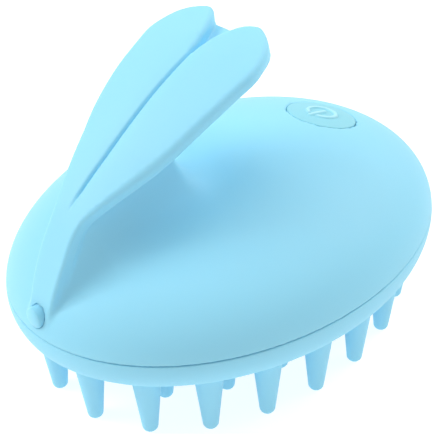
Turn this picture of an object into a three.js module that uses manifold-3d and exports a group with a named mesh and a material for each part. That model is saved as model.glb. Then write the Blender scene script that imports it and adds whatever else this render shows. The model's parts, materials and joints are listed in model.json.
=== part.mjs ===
// Rabbit-shaped electric scalp massager brush.
// Millimetres, +Z up. The origin is the middle of the bristle tips, the face looks towards -Y.
import * as THREE from 'three';
import Module from 'manifold-3d';
import { mergeVertices } from 'three/addons/utils/BufferGeometryUtils.js';
import { ParametricGeometry } from 'three/addons/geometries/ParametricGeometry.js';

const wasm = await Module();
wasm.setup();

// ---- driving dimensions -------------------------------------------------------------------
const HALF_LENGTH = 50;
const HALF_WIDTH = 38;
const DOME_RISE = 19.6;
const EQUATOR_Z = 21;
const PARTING_Z = EQUATOR_Z + 1.4;
const PAD_FACE_Z = EQUATOR_Z - 4.6;
const GAP = 0.3;

const SKIN_WALL = 1.6;
const SHELL_WALL = 1.8;
const SHELL_INSET = SKIN_WALL + GAP;
const INNER_INSET = SHELL_INSET + SHELL_WALL;
const PAD_WALL = 2.0;
const PAD_FLOOR = 2.2;
const CASE_INSET = PAD_WALL + GAP;
const CASE_WALL = 1.8;
const CASE_BASE_Z = PAD_FACE_Z + PAD_FLOOR + GAP;
const CASE_FLOOR_Z = CASE_BASE_Z + CASE_WALL;
const SEAL_HEIGHT = 0.8;
const SEAL_LOW_Z = PARTING_Z - SEAL_HEIGHT / 2;
const SEAL_HIGH_Z = PARTING_Z + SEAL_HEIGHT / 2;
const SEAM_GAP = 0.15;

const BRISTLE = { tipFlat: 0.8, tip: 1.5, shoulder: 0.8, base: 3.1, sides: 8 };
const RIM_RING = { length: 43.2, width: 31.8, count: 20, phase: 0.5 };
const MIDDLE_RING = { length: 33.7, width: 22.3, count: 14, phase: 0 };
const INNER_RING = { length: 23.4, width: 12, count: 10, phase: 0.5 };
const CENTRE_ROW_PITCH = 12;

const PADDLE_WALL = 4.6;
const CROWN_DROP = 1.8;
const NOTCH = { apexY: -7.1, mouthHalf: 5, mouthY: 4.2, webWall: 2 };
const STEM_HALF = 3.7;
const CORE_HALF = 2.3;
const CORE_PLATE = 1.6;
const CORE_MARGIN = 2.4;
const CORE_END = 0.75;

// Reach of a cutter that has to pass right through, and the clearance hole of a small screw.
const THROUGH = 40;
const SCREW_BORE = 1.3;

const BUTTON = { y: 29.1, radius: 7.7, flangeRadius: 8.8, flangeLow: -5.9, flangeHigh: -4.9 };
const PLUNGER = { radius: 1.7, high: -6.2, low: -8.8 };
const SWITCH = { side: 6.2, high: -7.3, low: -10.8, wellLow: -9.7 };
const BOARD = { width: 29, depth: 18, high: -11.1, low: -12.3, screwX: 12 };
const BOARD_SCREW = { shank: 1, head: 2, headHeight: 1.2, length: 5 };

const CASE_SCREW = { x: 22, y: 20, shank: 1.25, head: 2.5, headLow: 20.2, headHigh: 21.8, top: 29.5 };
const CASE_POST = { radius: 4, top: 24.5, bore: 2.9 };
const SHELL_POST = { radius: 3, low: 24.8, boreTop: 29.9 };

const MOTOR = { radius: 6, back: -14, front: 6, y: 5, z: 28.2 };
const SLEEVE = { wall: 0.9, back: -11, front: 3 };
const STRAP = { wall: 1, half: 3.5, middle: -4, footReach: 13, footTop: 22.9 };
const STRAP_SCREW = { shank: 1, head: 2, headHeight: 1.2, offset: 10.9, low: 19.6 };
const SHAFT = { radius: 0.75, back: 4.3, front: 15.6 };
const WEIGHT = { radius: 5.2, hub: 1.8, back: 8, front: 14.6 };
const BATTERY = { width: 32, depth: 20, height: 7, y: -19, low: 22.3 };
const BATTERY_PAD = { height: 1 };

const JACK = { z: EQUATOR_Z + 4.9, back: -31.2, front: -39.6, half: 2.9, collar: 2.7, collarFront: -46.6 };
const JACK_BORE = { radius: 1.9, back: -36 };
const PLUG = { head: 2.1, shank: 1.6, seat: -46.9, front: -49.7, headLength: 2.8, length: 11.9 };
const LEAD = { radius: 0.6, sides: 6 };
const LEAD_ROUTES = {
  battery_lead_red: [[13, -8.1, 26], [19, -4, 24], [19.2, 8, 23.6], [14.4, 14, 26], [12, 16.6, 28.1]],
  battery_lead_black: [[10.5, -8.1, 26.5], [17.4, -4.5, 27], [18.9, 6, 27.6], [15, 13.4, 29],
    [9.6, 16.6, 28.2]],
  motor_lead_red: [[-17.3, 6.5, 28.6], [-17.2, 9, 32], [-10, 12, 32.4], [-6.4, 16.6, 28.4]],
  motor_lead_black: [[-17.3, 3.5, 28.2], [-19.4, 8, 30.8], [-13, 13, 31], [-8.8, 16.6, 28.3]],
  jack_lead_red: [[-1.2, -30.5, 27.4], [-4.8, -30.1, 30.7], [-9.6, -20, 32], [-16.4, -8, 30.4],
    [-18.2, -3, 27], [-18.6, 7, 26], [-14.4, 12.6, 26.8], [-11.2, 16.6, 28.1]],
  jack_lead_black: [[1.2, -30.5, 25], [-5.4, -30.2, 25.8], [-10.4, -29.9, 30.6], [-14, -20, 31.4],
    [-18.4, -8, 28.8], [-20.4, -3, 25.4], [-20.8, 8, 24.4], [-16.4, 14, 25.2], [-13.6, 16.6, 28.1]],
};

// The top line of the face and ears, as [y, height above the widest section].
const CROWN_LINE = [
  [-48.9, 2.2], [-47.6, 7.5], [-45.2, 13.6], [-41.4, 20.6], [-37.2, 25.6],
  [-28.4, 32.6], [-17.7, 39.9], [-7.1, 45.2], [0, 47.6], [4, 48.2],
];
// Half width of the face and ears, as [y, half width].
const PADDLE_OUTLINE = [
  [-48.9, 2.6], [-47, 3.3], [-44, 3.7], [-40, 3.7], [-35.4, 5.7], [-29.7, 8.6], [-23.9, 11],
  [-16.8, 12.8], [-10.9, 14], [-7.1, 14.4], [-3.9, 13.8], [-0.8, 12.2], [1.6, 10.1], [4, 6.4],
];

// ---- solids -------------------------------------------------------------------------------
function toSolid(geometry) {
  const bare = geometry.clone();
  bare.deleteAttribute('normal');
  bare.deleteAttribute('uv');
  const merged = mergeVertices(bare, 1e-4);
  const points = merged.attributes.position.array;
  const corners = merged.index.array;
  const kept = [];
  for (let i = 0; i < corners.length; i += 3) {
    const [a, b, c] = [corners[i], corners[i + 1], corners[i + 2]];
    if (a !== b && b !== c && c !== a) kept.push(a, b, c);
  }
  const triVerts = Uint32Array.from(signedVolume(points, kept) < 0 ? kept.reverse() : kept);
  const vertProperties = Float32Array.from(points);
  return new wasm.Manifold(new wasm.Mesh({ numProp: 3, vertProperties, triVerts }));
}

function signedVolume(points, corners) {
  const [a, b, c] = [new THREE.Vector3(), new THREE.Vector3(), new THREE.Vector3()];
  let sum = 0;
  for (let i = 0; i < corners.length; i += 3) {
    a.fromArray(points, 3 * corners[i]);
    b.fromArray(points, 3 * corners[i + 1]);
    c.fromArray(points, 3 * corners[i + 2]);
    sum += a.dot(b.cross(c));
  }
  return sum / 6;
}

function toGeometry(solid) {
  const mesh = solid.getMesh();
  const geometry = new THREE.BufferGeometry();
  geometry.setAttribute('position', new THREE.BufferAttribute(mesh.vertProperties, 3));
  geometry.setIndex(new THREE.BufferAttribute(mesh.triVerts, 1));
  geometry.computeVertexNormals();
  return geometry;
}

// Half axes are the body's own, less the inset, so nested walls keep an even thickness.
function ellipsoid(inset) {
  const sphere = new THREE.SphereGeometry(1, 32, 16);
  sphere.rotateX(Math.PI / 2);
  sphere.scale(HALF_WIDTH - inset, HALF_LENGTH - inset, DOME_RISE - inset);
  sphere.translate(0, 0, EQUATOR_Z);
  return toSolid(sphere);
}

function block(low, high) {
  const size = high.map((value, i) => value - low[i]);
  const box = new THREE.BoxGeometry(...size);
  box.translate(...high.map((value, i) => (value + low[i]) / 2));
  return toSolid(box);
}

function slab(low, high) {
  return block([-2 * HALF_LENGTH, -2 * HALF_LENGTH, low], [2 * HALF_LENGTH, 2 * HALF_LENGTH, high]);
}

// A round bar along +Z.
function post(x, y, low, high, radius, sides = 16) {
  const bar = new THREE.CylinderGeometry(radius, radius, high - low, sides);
  bar.rotateX(Math.PI / 2);
  bar.translate(x, y, (low + high) / 2);
  return toSolid(bar);
}

// A round bar along +X, and one along +Y.
function barAlongX(from, to, y, z, radius, sides = 20) {
  const bar = new THREE.CylinderGeometry(radius, radius, to - from, sides);
  bar.rotateZ(Math.PI / 2);
  bar.translate((from + to) / 2, y, z);
  return toSolid(bar);
}

function barAlongY(from, to, x, z, radius, sides = 16) {
  const bar = new THREE.CylinderGeometry(radius, radius, Math.abs(to - from), sides);
  bar.translate(x, (from + to) / 2, z);
  return toSolid(bar);
}

function tube(points, radius, sides) {
  const path = new THREE.CatmullRomCurve3(points.map((point) => new THREE.Vector3(...point)));
  const section = new THREE.Shape();
  section.absarc(0, 0, radius, 0, 2 * Math.PI);
  const steps = points.length * 2;
  const options = { steps, curveSegments: sides, bevelEnabled: false, extrudePath: path };
  return toSolid(new THREE.ExtrudeGeometry(section, options));
}

function union(solids) {
  return solids.reduce((sum, solid) => sum.add(solid));
}

function cut(solid, tools) {
  return tools.reduce((rest, tool) => rest.subtract(tool), solid);
}

// ---- face and ears ------------------------------------------------------------------------
function lineThrough(points) {
  return new THREE.SplineCurve(points.map(([u, v]) => new THREE.Vector2(u, v)));
}

const crownLine = lineThrough(CROWN_LINE);
const paddleOutline = lineThrough(PADDLE_OUTLINE);

function halfWidthAt(y) {
  let [low, high] = [0, 1];
  for (let i = 0; i < 30; i += 1) {
    const middle = (low + high) / 2;
    if (paddleOutline.getPoint(middle).x < y) low = middle;
    else high = middle;
  }
  return paddleOutline.getPoint(low).y;
}

// A strip that follows the crown line between two depths below it, arched across its width.
function crownStrip(start, end, depthTop, depthLow, widthAt) {
  const across = 8;
  const along = 30;
  const rim = 2 * (across + 1);
  const place = (u, v, target) => {
    const row = Math.min(Math.max(v * (along + 2) - 1, 0), along) / along;
    const t = start + (end - start) * row;
    const top = crownLine.getPoint(t);
    const tangent = crownLine.getTangent(t);
    const half = widthAt(top.x);
    const corner = Math.round(u * rim) % rim;
    const upper = corner <= across;
    const share = upper ? 1 - (2 * corner) / across : (2 * (corner - across - 1)) / across - 1;
    const isCap = v === 0 || v === 1;
    const x = isCap ? 0 : share * half;
    const full = halfWidthAt(top.x);
    const arch = CROWN_DROP * (x / full) ** 2 * Math.min(1, full / 10);
    const depth = (isCap ? (depthTop + depthLow) / 2 : (upper ? depthTop : depthLow)) + arch;
    target.set(x, top.x + tangent.y * depth, EQUATOR_Z + top.y - tangent.x * depth);
  };
  return toSolid(new ParametricGeometry(place, rim, along + 2));
}

// The stem's side outline in the Y-Z plane, shrunk on every side by the margin.
function stemSolid(half, margin, firstStep) {
  const outline = new THREE.Shape();
  const steps = 40;
  const front = crownLine.getPoints(steps).slice(firstStep).filter((point) => point.x < -18);
  const inward = 1 + margin;
  front.forEach((point, i) => {
    const tangent = crownLine.getTangent((i + firstStep) / steps);
    const [y, z] = [point.x + tangent.y * inward, EQUATOR_Z + point.y - tangent.x * inward];
    if (i === 0) outline.moveTo(y, z);
    else outline.lineTo(y, z);
  });
  const rear = [-17.5 - margin, EQUATOR_Z + 26.5];
  outline.lineTo(-15.5 - margin, EQUATOR_Z + 33);
  outline.quadraticCurveTo(rear[0], rear[1], -12.5 - margin, EQUATOR_Z + 16);
  outline.lineTo(-12.5 - margin, EQUATOR_Z + 10);
  outline.lineTo(front[0].x + 4, EQUATOR_Z + 1);
  outline.closePath();
  const options = { depth: 2 * half, bevelEnabled: false, curveSegments: 8 };
  const plate = new THREE.ExtrudeGeometry(outline, options);
  plate.translate(0, 0, -half);
  plate.applyMatrix4(new THREE.Matrix4().makeBasis(
    new THREE.Vector3(0, 1, 0), new THREE.Vector3(0, 0, 1), new THREE.Vector3(1, 0, 0),
  ));
  return toSolid(plate);
}

// The notch between the ear tips: a wedge above the thin web that joins the ears.
function notchWedge() {
  const wedge = new THREE.Shape();
  wedge.moveTo(0, NOTCH.apexY);
  wedge.lineTo(NOTCH.mouthHalf, NOTCH.mouthY);
  wedge.lineTo(NOTCH.mouthHalf, NOTCH.mouthY + 4);
  wedge.lineTo(-NOTCH.mouthHalf, NOTCH.mouthY + 4);
  wedge.lineTo(-NOTCH.mouthHalf, NOTCH.mouthY);
  wedge.closePath();
  const prism = new THREE.ExtrudeGeometry(wedge, { depth: 2 * HALF_LENGTH, bevelEnabled: false });
  const web = crownStrip(0.5, 1, PADDLE_WALL - NOTCH.webWall, PADDLE_WALL + 2, () => 16);
  return toSolid(prism).subtract(web);
}

function coreSolid(grow) {
  const plateWidth = (y) => Math.max(halfWidthAt(y) - CORE_MARGIN, 1.2) + grow;
  const plateTop = (PADDLE_WALL - CORE_PLATE) / 2 - grow;
  const plate = crownStrip(0.4, CORE_END + grow / 70, plateTop, plateTop + CORE_PLATE + 2 * grow, plateWidth);
  return plate.add(stemSolid(CORE_HALF + grow, 1.6 - grow, 8));
}

function earCore() {
  const foot = ellipsoid(SHELL_INSET - GAP);
  const screws = coreScrewPlaces().map(([y, z]) => post(0, y, z - 10, z + 7.3, 1.55));
  return cut(coreSolid(0), [foot, ...screws]);
}

function coreScrewPlaces() {
  return [-31, -20].map((y) => [y, domeHeight(0, y, INNER_INSET)]);
}

// ---- body ---------------------------------------------------------------------------------
function domeHeight(x, y, inset) {
  const share = 1 - (x / (HALF_WIDTH - inset)) ** 2 - (y / (HALF_LENGTH - inset)) ** 2;
  return EQUATOR_Z + (DOME_RISE - inset) * Math.sqrt(share);
}

function upperSkin() {
  const paddle = crownStrip(0, 1, 0, PADDLE_WALL, halfWidthAt).subtract(notchWedge());
  const outer = union([ellipsoid(0), stemSolid(STEM_HALF, 0, 0), paddle]);
  const hollow = ellipsoid(SKIN_WALL).add(coreSolid(GAP));
  const below = slab(-HALF_LENGTH, PARTING_Z + SEAM_GAP);
  const nose = barAlongY(-2 * HALF_LENGTH, PLUG.seat + 4, 0, JACK.z, PLUG.head + SEAM_GAP);
  const collarRoom = barAlongY(PLUG.seat, PLUG.seat + 4, 0, JACK.z, JACK.collar + GAP);
  const buttonHole = inButtonFrame(post(0, 0, -6, 20, BUTTON.radius + GAP, 32));
  return cut(outer, [hollow, below, nose, collarRoom, buttonHole]);
}

function upperShell() {
  const outer = ellipsoid(SHELL_INSET);
  const postTop = 2 * EQUATOR_Z;
  const posts = caseScrewPlaces().map(([x, y]) => post(x, y, SHELL_POST.low, postTop, SHELL_POST.radius));
  const boardPosts = [-1, 1].map((side) => post(side * BOARD.screwX, 0, BOARD.high + GAP, 0, 2.6));
  const supports = union([...posts, ...boardPosts.map(inButtonFrame)]).intersect(outer);
  const body = outer.subtract(ellipsoid(INNER_INSET)).subtract(slab(-HALF_LENGTH, SEAL_HIGH_Z + GAP / 2));
  const bores = caseScrewPlaces().map(([x, y]) => post(x, y, 0, SHELL_POST.boreTop, CASE_SCREW.shank + GAP));
  const boardBoreTop = BOARD.high + BOARD_SCREW.length;
  const boardBore = (side) => post(side * BOARD.screwX, 0, -15, boardBoreTop, SCREW_BORE, 10);
  const boardBores = [-1, 1].map(boardBore).map(inButtonFrame);
  const coreBores = coreScrewPlaces().map(([y, z]) => post(0, y, z - 6, z + 6, 1.55));
  const coreSeats = coreScrewPlaces().map(([y, z]) => post(0, y, z - 6, z - 0.7, 2.7));
  const buttonHole = inButtonFrame(post(0, 0, -5.5, 20, BUTTON.radius + GAP, 32));
  const jackHole = barAlongY(-2 * HALF_LENGTH, JACK.front + 3, 0, JACK.z, JACK.collar + GAP);
  return cut(body.add(supports), [...bores, ...boardBores, ...coreBores, ...coreSeats, buttonHole, jackHole]);
}

function caseScrewPlaces() {
  const { x, y } = CASE_SCREW;
  return [[-x, -y], [x, -y], [-x, y], [x, y]];
}

function lowerCase() {
  const wall = ellipsoid(CASE_INSET).subtract(ellipsoid(CASE_INSET + CASE_WALL));
  const floor = ellipsoid(CASE_INSET).intersect(slab(CASE_BASE_Z, CASE_FLOOR_Z));
  const slice = slab(CASE_BASE_Z, SEAL_LOW_Z - GAP / 2);
  const posts = caseScrewPlaces().map(([x, y]) => post(x, y, CASE_BASE_Z, CASE_POST.top, CASE_POST.radius));
  const heads = caseScrewPlaces().map(([x, y]) => post(x, y, 0, CASE_SCREW.headHigh + GAP, CASE_POST.bore));
  const shanks = caseScrewPlaces().map(([x, y]) => post(x, y, 0, THROUGH, CASE_SCREW.shank + GAP));
  const strapBoreLow = STRAP_SCREW.low - GAP;
  const strapBores = strapScrewPlaces().map(([x, y]) => post(x, y, strapBoreLow, THROUGH, SCREW_BORE, 10));
  const cradle = block([-10.5, MOTOR.y - 9, CASE_FLOOR_Z - 1], [2.5, MOTOR.y + 9, MOTOR.z - 1]);
  const motorRoom = barAlongX(-THROUGH, THROUGH, MOTOR.y, MOTOR.z, MOTOR.radius + SLEEVE.wall + GAP);
  const beside = MOTOR.radius + SLEEVE.wall;
  const strapRoom = [[-16, -beside], [beside, 16]].map(([low, high]) => block(
    [STRAP.middle - STRAP.half - GAP, MOTOR.y + low, STRAP.footTop - STRAP.wall - GAP],
    [STRAP.middle + STRAP.half + GAP, MOTOR.y + high, 2 * EQUATOR_Z],
  ));
  const footTop = STRAP.footTop - STRAP.wall - GAP;
  const feet = strapScrewPlaces().map(([x, y]) => post(x, y, CASE_FLOOR_Z - 1, footTop, 2.4));
  const ribs = [-1, 1].map((side) => block(
    [side * 17.2 - 0.7, BATTERY.y - 9, CASE_FLOOR_Z - 1],
    [side * 17.2 + 0.7, BATTERY.y + 9, CASE_FLOOR_Z + 5],
  ));
  const cradleCut = cut(cradle, [motorRoom, ...strapRoom]);
  const tray = wall.intersect(slice).add(floor);
  return cut(union([tray, ...posts, cradleCut, ...feet, ...ribs]), [...heads, ...shanks, ...strapBores]);
}

// Places bristles at even steps of arc length round an ellipse.
function ringPlaces({ length, width, count, phase }) {
  const ring = new THREE.EllipseCurve(0, 0, width, length, -Math.PI / 2, 1.5 * Math.PI);
  ring.arcLengthDivisions = 800;
  const places = [];
  for (let i = 0; i < count; i += 1) {
    const point = ring.getPointAt((i + phase) / count);
    places.push([point.x, point.y]);
  }
  return places;
}

function bristle([x, y]) {
  const { tipFlat, tip, shoulder, base, sides } = BRISTLE;
  const profile = [[0, 0], [tipFlat, 0], [tip, shoulder], [base, PAD_FACE_Z + 1], [0, PAD_FACE_Z + 1]];
  const cone = new THREE.LatheGeometry(profile.map(([r, z]) => new THREE.Vector2(r, z)), sides);
  cone.rotateX(Math.PI / 2);
  cone.translate(x, y, 0);
  return toSolid(cone);
}

function brushPad() {
  const outer = ellipsoid(0).intersect(slab(PAD_FACE_Z, PARTING_Z - SEAM_GAP));
  const room = ellipsoid(PAD_WALL).intersect(slab(PAD_FACE_Z + PAD_FLOOR, 2 * EQUATOR_Z));
  const centre = [-1, 0, 1].map((step) => [0, step * CENTRE_ROW_PITCH]);
  const places = [RIM_RING, MIDDLE_RING, INNER_RING].flatMap(ringPlaces).concat(centre);
  return union([outer.subtract(room), ...places.map(bristle)]);
}

function sealRing() {
  const ring = ellipsoid(SHELL_INSET + GAP).subtract(ellipsoid(INNER_INSET - GAP));
  return ring.intersect(slab(SEAL_LOW_Z + GAP / 2, SEAL_HIGH_Z - GAP / 2));
}

// ---- button group -------------------------------------------------------------------------
const buttonZ = domeHeight(0, BUTTON.y, 0);
const buttonTilt = Math.atan2(BUTTON.y / HALF_LENGTH ** 2, (buttonZ - EQUATOR_Z) / DOME_RISE ** 2);

function inButtonFrame(solid) {
  const place = new THREE.Matrix4().makeRotationX(-buttonTilt);
  place.setPosition(0, BUTTON.y, buttonZ);
  return solid.transform(place.elements);
}

function powerButton() {
  const disc = post(0, 0, BUTTON.flangeLow, 3, BUTTON.radius, 32);
  const flange = post(0, 0, BUTTON.flangeLow, BUTTON.flangeHigh, BUTTON.flangeRadius, 32);
  return inButtonFrame(disc.add(flange)).intersect(ellipsoid(0));
}

function switchPlunger() {
  return inButtonFrame(post(0, 0, PLUNGER.low, PLUNGER.high, PLUNGER.radius));
}

function switchBody() {
  const half = SWITCH.side / 2;
  const body = block([-half, -half, SWITCH.low], [half, half, SWITCH.high]);
  return inButtonFrame(body.subtract(post(0, 0, SWITCH.wellLow, 0, PLUNGER.radius + GAP)));
}

function circuitBoard() {
  const [halfX, halfY] = [BOARD.width / 2, BOARD.depth / 2];
  const board = block([-halfX, -halfY, BOARD.low], [halfX, halfY, BOARD.high]);
  const holes = [-1, 1].map((side) => post(side * BOARD.screwX, 0, -20, 0, SCREW_BORE, 10));
  return inButtonFrame(cut(board, holes));
}

function boardScrew(side) {
  const headTop = BOARD.low - GAP;
  const head = post(side * BOARD.screwX, 0, headTop - BOARD_SCREW.headHeight, headTop, BOARD_SCREW.head, 12);
  const top = BOARD.high + BOARD_SCREW.length - 1;
  return inButtonFrame(head.add(post(side * BOARD.screwX, 0, headTop, top, BOARD_SCREW.shank, 10)));
}

// ---- motor --------------------------------------------------------------------------------
function motorCan() {
  const can = barAlongX(MOTOR.back, MOTOR.front, MOTOR.y, MOTOR.z, MOTOR.radius);
  return can.subtract(barAlongX(SHAFT.back - GAP, 20, MOTOR.y, MOTOR.z, SHAFT.radius + GAP, 12));
}

function motorEndCap() {
  const back = MOTOR.back - GAP;
  const cap = barAlongX(back - 1.4, back, MOTOR.y, MOTOR.z, MOTOR.radius - 0.4);
  return cap.add(barAlongX(back - 2.4, back - 1, MOTOR.y, MOTOR.z, 2, 12));
}

function motorSleeve() {
  const outer = barAlongX(SLEEVE.back, SLEEVE.front, MOTOR.y, MOTOR.z, MOTOR.radius + SLEEVE.wall);
  return outer.subtract(barAlongX(-THROUGH, THROUGH, MOTOR.y, MOTOR.z, MOTOR.radius + GAP));
}

function motorStrap() {
  const inner = MOTOR.radius + SLEEVE.wall + GAP;
  const [back, front] = [STRAP.middle - STRAP.half, STRAP.middle + STRAP.half];
  const footLow = STRAP.footTop - STRAP.wall;
  const outside = inner + STRAP.wall;
  const sides = block([back, MOTOR.y - outside, footLow], [front, MOTOR.y + outside, MOTOR.z]);
  const arch = barAlongX(back, front, MOTOR.y, MOTOR.z, inner + STRAP.wall);
  const reach = STRAP.footReach;
  const feet = block([back, MOTOR.y - reach, footLow], [front, MOTOR.y + reach, STRAP.footTop]);
  const room = barAlongX(-THROUGH, THROUGH, MOTOR.y, MOTOR.z, inner);
  const channel = block([-THROUGH, MOTOR.y - inner, 0], [THROUGH, MOTOR.y + inner, MOTOR.z]);
  const holes = strapScrewPlaces().map(([x, y]) => post(x, y, 0, THROUGH, SCREW_BORE, 10));
  const upper = arch.subtract(slab(0, MOTOR.z - 1));
  return cut(union([sides, upper, feet]), [room, channel, ...holes]);
}

function strapScrewPlaces() {
  return [-1, 1].map((side) => [STRAP.middle, MOTOR.y + side * STRAP_SCREW.offset]);
}

function strapScrew([x, y]) {
  const seat = STRAP.footTop + GAP;
  const head = post(x, y, seat, seat + STRAP_SCREW.headHeight, STRAP_SCREW.head, 12);
  return head.add(post(x, y, STRAP_SCREW.low, seat, STRAP_SCREW.shank, 10));
}

function motorShaft() {
  return barAlongX(SHAFT.back, SHAFT.front, MOTOR.y, MOTOR.z, SHAFT.radius, 12);
}

function eccentricWeight() {
  const disc = barAlongX(WEIGHT.back, WEIGHT.front, MOTOR.y, MOTOR.z, WEIGHT.radius);
  const lower = disc.subtract(block([0, MOTOR.y - 10, MOTOR.z], [40, MOTOR.y + 10, MOTOR.z + 10]));
  const hub = barAlongX(WEIGHT.back, WEIGHT.front, MOTOR.y, MOTOR.z, WEIGHT.hub);
  return lower.add(hub).subtract(barAlongX(0, THROUGH, MOTOR.y, MOTOR.z, SHAFT.radius + GAP, 12));
}

// ---- power --------------------------------------------------------------------------------
function batteryCell() {
  const { width, depth, height, y, low } = BATTERY;
  return block([-width / 2, y - depth / 2, low], [width / 2, y + depth / 2, low + height]);
}

function batteryPad() {
  const top = BATTERY.low - GAP;
  const low = top - BATTERY_PAD.height;
  return block([-12, BATTERY.y - 8, low], [12, BATTERY.y + 8, top]);
}

function chargingJack() {
  const { z, back, front, half, collar, collarFront } = JACK;
  const body = block([-half, front, z - half], [half, back, z + half]);
  const socket = body.add(barAlongY(collarFront, front + 1, 0, z, collar));
  return socket.subtract(barAlongY(-60, JACK_BORE.back, 0, z, JACK_BORE.radius));
}

function nosePlug() {
  const { head, shank, headLength, length } = PLUG;
  const front = [[0, 0], [head - 0.7, 0], [head, 0.8], [head, headLength]];
  const rear = [[shank, headLength], [shank, length - 0.5], [1.1, length], [0, length]];
  const profile = [...front, ...rear];
  const stopper = new THREE.LatheGeometry(profile.map(([r, d]) => new THREE.Vector2(r, d)), 20);
  stopper.translate(0, PLUG.front, JACK.z);
  return toSolid(stopper);
}

function caseScrew([x, y]) {
  const head = post(x, y, CASE_SCREW.headLow, CASE_SCREW.headHigh, CASE_SCREW.head, 12);
  return head.add(post(x, y, CASE_SCREW.headHigh - 0.5, CASE_SCREW.top, CASE_SCREW.shank, 10));
}

function coreScrew([y, z]) {
  const head = post(0, y, z - 2.2, z - 1, 2.4, 12);
  return head.add(post(0, y, z - 1.5, z + 7, 1.25, 10));
}

// ---- assembly -----------------------------------------------------------------------------
const silicone = { color: 0x9fdff5, roughness: 0.55, metalness: 0 };
const buttonTint = { color: 0x86d0e2, roughness: 0.5, metalness: 0 };
const whitePlastic = { color: 0xe9eef0, roughness: 0.5, metalness: 0 };
const rubber = { color: 0x2a2c2e, roughness: 0.8, metalness: 0 };
const steel = { color: 0xb9bdc1, roughness: 0.3, metalness: 1 };
const brass = { color: 0xc9a55a, roughness: 0.35, metalness: 1 };
const boardGreen = { color: 0x1f6b3a, roughness: 0.45, metalness: 0 };
const blackPlastic = { color: 0x1b1c1e, roughness: 0.5, metalness: 0 };
const foil = { color: 0xc4c8cb, roughness: 0.4, metalness: 0.8 };
const foam = { color: 0x4a4c4e, roughness: 0.95, metalness: 0 };
const redWire = { color: 0xb5221f, roughness: 0.5, metalness: 0 };
const blackWire = { color: 0x18191a, roughness: 0.5, metalness: 0 };

const massager = new THREE.Group();

function add(name, solid, look) {
  const mesh = new THREE.Mesh(toGeometry(solid), new THREE.MeshStandardMaterial(look));
  mesh.name = name;
  massager.add(mesh);
}

add('upper_skin', upperSkin(), silicone);
add('ear_core', earCore(), whitePlastic);
add('upper_shell', upperShell(), whitePlastic);
add('seal_ring', sealRing(), rubber);
add('lower_case', lowerCase(), whitePlastic);
add('brush_pad', brushPad(), silicone);
add('power_button', powerButton(), buttonTint);
add('switch_plunger', switchPlunger(), blackPlastic);
add('switch_body', switchBody(), steel);
add('circuit_board', circuitBoard(), boardGreen);
add('motor_can', motorCan(), steel);
add('motor_end_cap', motorEndCap(), blackPlastic);
add('motor_sleeve', motorSleeve(), rubber);
add('motor_strap', motorStrap(), steel);
add('motor_shaft', motorShaft(), steel);
add('eccentric_weight', eccentricWeight(), brass);
add('battery_cell', batteryCell(), foil);
add('battery_pad', batteryPad(), foam);
add('charging_jack', chargingJack(), blackPlastic);
add('nose_plug', nosePlug(), silicone);
[-1, 1].forEach((side, i) => add(`board_screw_${i + 1}`, boardScrew(side), steel));
strapScrewPlaces().forEach((place, i) => add(`strap_screw_${i + 1}`, strapScrew(place), steel));
caseScrewPlaces().forEach((place, i) => add(`case_screw_${i + 1}`, caseScrew(place), steel));
Object.entries(LEAD_ROUTES).forEach(([name, route]) => {
  add(name, tube(route, LEAD.radius, LEAD.sides), name.endsWith('red') ? redWire : blackWire);
});
coreScrewPlaces().forEach((place, i) => add(`ear_screw_${i + 1}`, coreScrew(place), steel));

export default massager;
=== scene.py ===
"""Rabbit-shaped electric scalp massager: the looks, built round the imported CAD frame.

Lengths inside the surface functions are millimetres, as on a drawing. A mesh gets metres.
"""

import json
import math
from types import SimpleNamespace

import bpy
import numpy as np
from mathutils import Matrix, Vector


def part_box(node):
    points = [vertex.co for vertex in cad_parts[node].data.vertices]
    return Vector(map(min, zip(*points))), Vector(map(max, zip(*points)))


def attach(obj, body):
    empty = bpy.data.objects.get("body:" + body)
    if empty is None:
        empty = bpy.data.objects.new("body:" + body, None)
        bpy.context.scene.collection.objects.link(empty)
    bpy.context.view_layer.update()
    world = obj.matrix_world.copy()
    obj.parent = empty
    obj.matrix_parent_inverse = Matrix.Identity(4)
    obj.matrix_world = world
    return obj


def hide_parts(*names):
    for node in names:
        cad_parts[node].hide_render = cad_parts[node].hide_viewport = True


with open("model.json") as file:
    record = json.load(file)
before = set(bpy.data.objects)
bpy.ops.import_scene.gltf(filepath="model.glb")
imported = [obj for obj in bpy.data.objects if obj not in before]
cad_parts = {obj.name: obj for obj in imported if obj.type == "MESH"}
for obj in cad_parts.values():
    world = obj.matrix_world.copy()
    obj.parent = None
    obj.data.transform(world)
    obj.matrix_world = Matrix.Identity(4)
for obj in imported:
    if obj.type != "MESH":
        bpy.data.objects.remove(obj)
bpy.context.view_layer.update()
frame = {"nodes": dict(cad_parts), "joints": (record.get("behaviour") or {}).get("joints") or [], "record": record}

bl_info = {
    "name": "Scalp Massager Looks",
    "version": (1, 0, 0),
    "blender": (4, 5, 0),
    "location": "View3D > Sidebar > Massager",
    "description": "Builds the silicone skin, bristle pad, button and finishes of a scalp massager",
    "category": "Object",
}

# ---- places and sizes taken from the frame, in millimetres ----------------------------------

MM = 0.001


def box_mm(node):
    """Lowest and highest corner of a CAD node as two arrays in millimetres."""
    low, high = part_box(node)
    return np.array(low) / MM, np.array(high) / MM


PAD_LOW, PAD_HIGH = box_mm("brush_pad")
SKIN_LOW, SKIN_HIGH = box_mm("upper_skin")
PLUG_LOW, PLUG_HIGH = box_mm("nose_plug")
BUTTON_JOINT = next(j for j in frame["joints"] if j["name"] == "button_press")

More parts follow.
